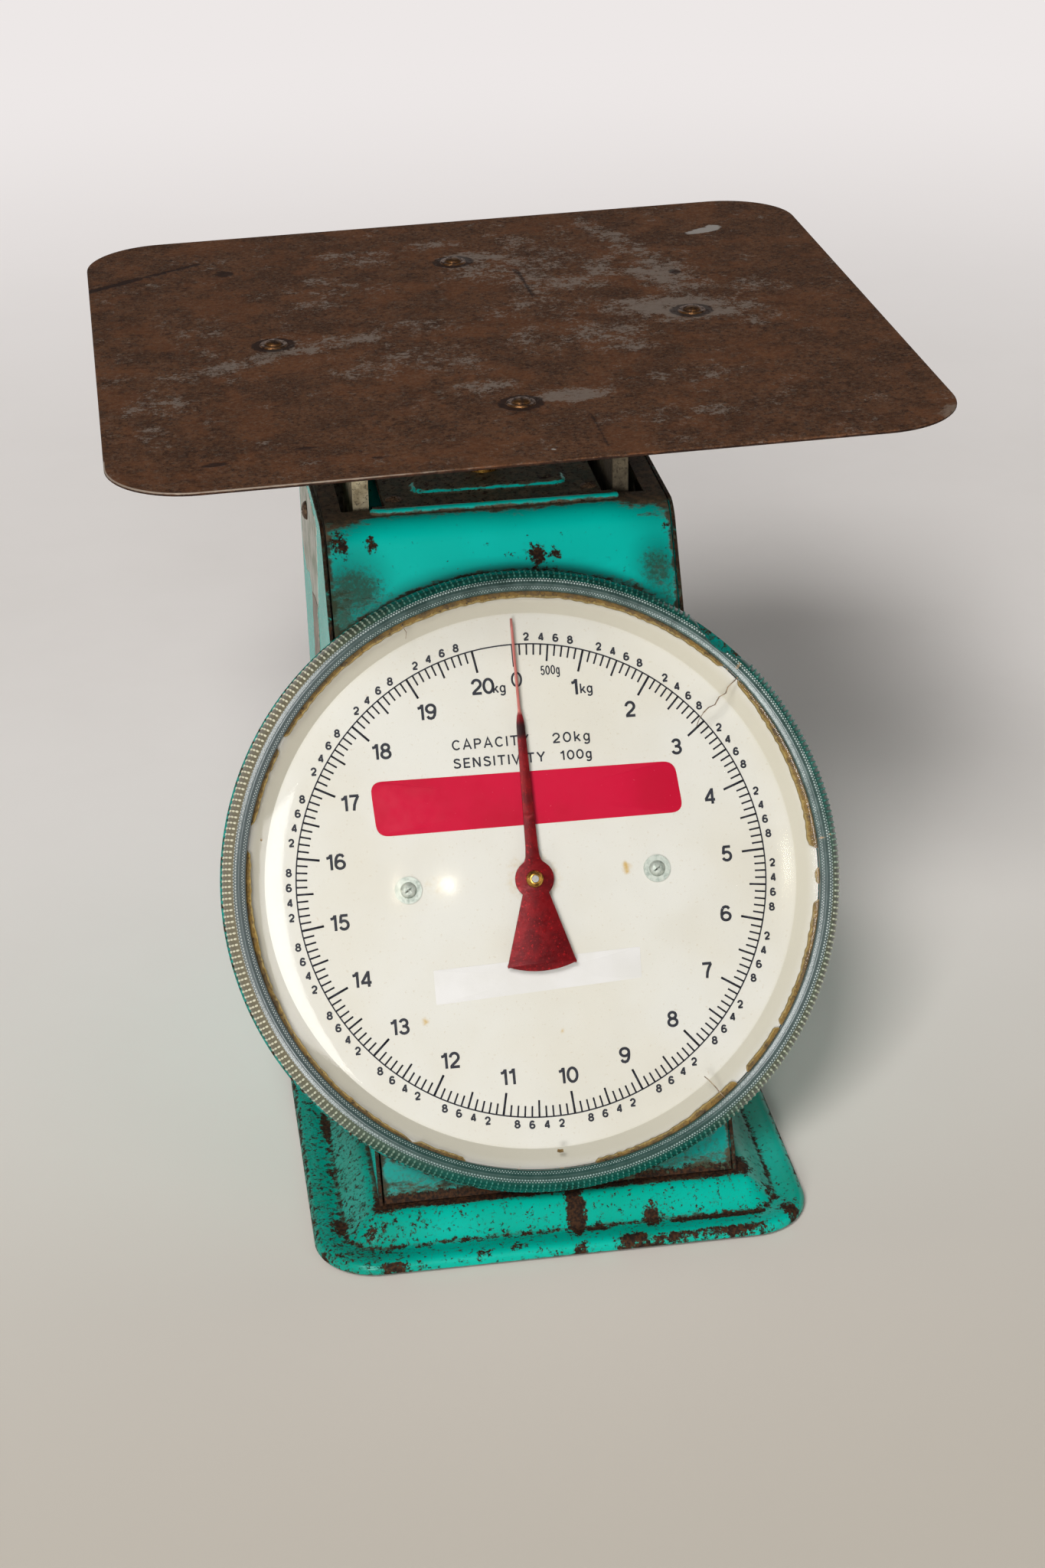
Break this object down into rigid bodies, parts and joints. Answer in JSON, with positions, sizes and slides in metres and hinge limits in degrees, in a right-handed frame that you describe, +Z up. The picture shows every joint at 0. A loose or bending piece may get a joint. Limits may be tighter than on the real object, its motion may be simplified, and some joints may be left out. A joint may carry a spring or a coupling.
{
  "type": "mechanical dial platform scale",
  "caption": "Platform scale with a round dial on a sloping sheet-metal front; load on the square plate lowers a sprung carriage whose rack turns the pointer.",
  "frame": {"origin": "on the ground, at the middle of the object's bounding box", "axes": "+Z up, the dial faces -Y, +X is to the right as seen from the front"},
  "size_m": [0.268, 0.311, 0.2661],
  "materials": {
    "teal_enamel": "glossy enamel, worn and rusted along the edges",
    "brown_steel": "rust-browned sheet, worn bright in patches",
    "zinc_steel": "spangled zinc",
    "bright_steel": "plain steel",
    "brass": "tarnished",
    "cream_enamel": "smooth printed enamel",
    "red_enamel": "glossy",
    "clear_plastic": "clear, ribbed rim",
    "brown_glue": "dried adhesive",
    "foot_rubber": "matte"
  },
  "bodies": {
    "housing": {"base_pan": "teal_enamel", "foot_front_left": "foot_rubber", "foot_front_right": "foot_rubber", "foot_back_left": "foot_rubber", "foot_back_right": "foot_rubber", "front_cover": "teal_enamel", "left_side_panel": "teal_enamel", "right_side_panel": "teal_enamel", "left_screw_upper": "brown_steel", "left_screw_lower": "brown_steel", "right_screw_upper": "brown_steel", "right_screw_lower": "brown_steel", "back_cover": "teal_enamel", "back_screw_left": "bright_steel", "back_screw_right": "bright_steel", "top_plate": "teal_enamel", "top_plate_screw_left": "brown_steel", "top_plate_screw_right": "brown_steel", "left_cheek": "zinc_steel", "right_cheek": "zinc_steel", "upper_pivot_rod": "bright_steel", "lower_pivot_rod": "bright_steel", "shaft_bracket": "zinc_steel", "front_bush": "brass", "rear_bush": "brass", "dial_casing": "teal_enamel", "dial_plate": "cream_enamel", "dial_screw_left": "zinc_steel", "dial_screw_right": "zinc_steel", "cover_seal": "brown_glue", "clear_cover": "clear_plastic"},
    "carriage": {"platform_plate": "brown_steel", "rivet_front": "brass", "rivet_back": "brass", "rivet_left": "brass", "rivet_right": "brass", "platform_spider": "zinc_steel", "left_post": "zinc_steel", "right_post": "zinc_steel", "post_screw_left": "bright_steel", "post_screw_right": "bright_steel", "carriage_yoke": "zinc_steel", "yoke_screw_left": "bright_steel", "yoke_screw_right": "bright_steel", "upper_carriage_rod": "bright_steel", "lower_carriage_rod": "bright_steel", "rack_bracket": "zinc_steel", "rack": "bright_steel"},
    "pointer_set": {"pointer": "red_enamel", "pointer_nut": "brass", "pointer_shaft": "bright_steel", "pinion": "brass"},
    "upper_arm": {"upper_arm": "zinc_steel"},
    "lower_arm": {"lower_arm": "zinc_steel"},
    "zero_adjuster": {"zero_knob": "brass", "zero_screw": "bright_steel"},
    "hanger": {"spring_hanger": "zinc_steel", "left_spring": "bright_steel", "right_spring": "bright_steel"}
  },
  "joints": [
    {"name": "platform_slide", "type": "slide", "parent": "housing", "child": "carriage", "axis": [0, 0, -1], "range_m": [0, 0.02116], "stiffness_N_per_m": 9271.8, "springref_m": -0.0016, "deforming": ["left_spring", "right_spring"]},
    {"name": "pointer_turn", "type": "hinge", "parent": "housing", "child": "pointer_set", "pos_m": [0, -0.08382, 0.10499], "axis": [0, 0.866, -0.5], "range_deg": [-0.5, 350.5]},
    {"name": "upper_arm_swing", "type": "hinge", "parent": "housing", "child": "upper_arm", "pos_m": [0, 0.05332, 0.17], "axis": [1, 0, 0], "range_deg": [-0.2, 24.45]},
    {"name": "lower_arm_swing", "type": "hinge", "parent": "housing", "child": "lower_arm", "pos_m": [0, 0.05332, 0.0593], "axis": [1, 0, 0], "range_deg": [-0.2, 24.45]},
    {"name": "zero_knob_turn", "type": "hinge", "parent": "housing", "child": "zero_adjuster", "pos_m": [0, 0.0215, 0.213], "axis": [0, 0, 1], "range_deg": [-360.5, 360.5]},
    {"name": "spring_hanger_slide", "type": "slide", "parent": "housing", "child": "hanger", "axis": [0, 0, 1], "range_m": [-0.001, 0.001]}
  ],
  "couplings": [
    {"joint": "pointer_turn", "follows": "platform_slide", "rad_per_m": 288.68},
    {"joint": "upper_arm_swing", "follows": "platform_slide", "rad_per_m": 20},
    {"joint": "lower_arm_swing", "follows": "platform_slide", "rad_per_m": 20},
    {"joint": "zero_knob_turn", "follows": "spring_hanger_slide", "rad_per_m": -6283.2}
  ]
}
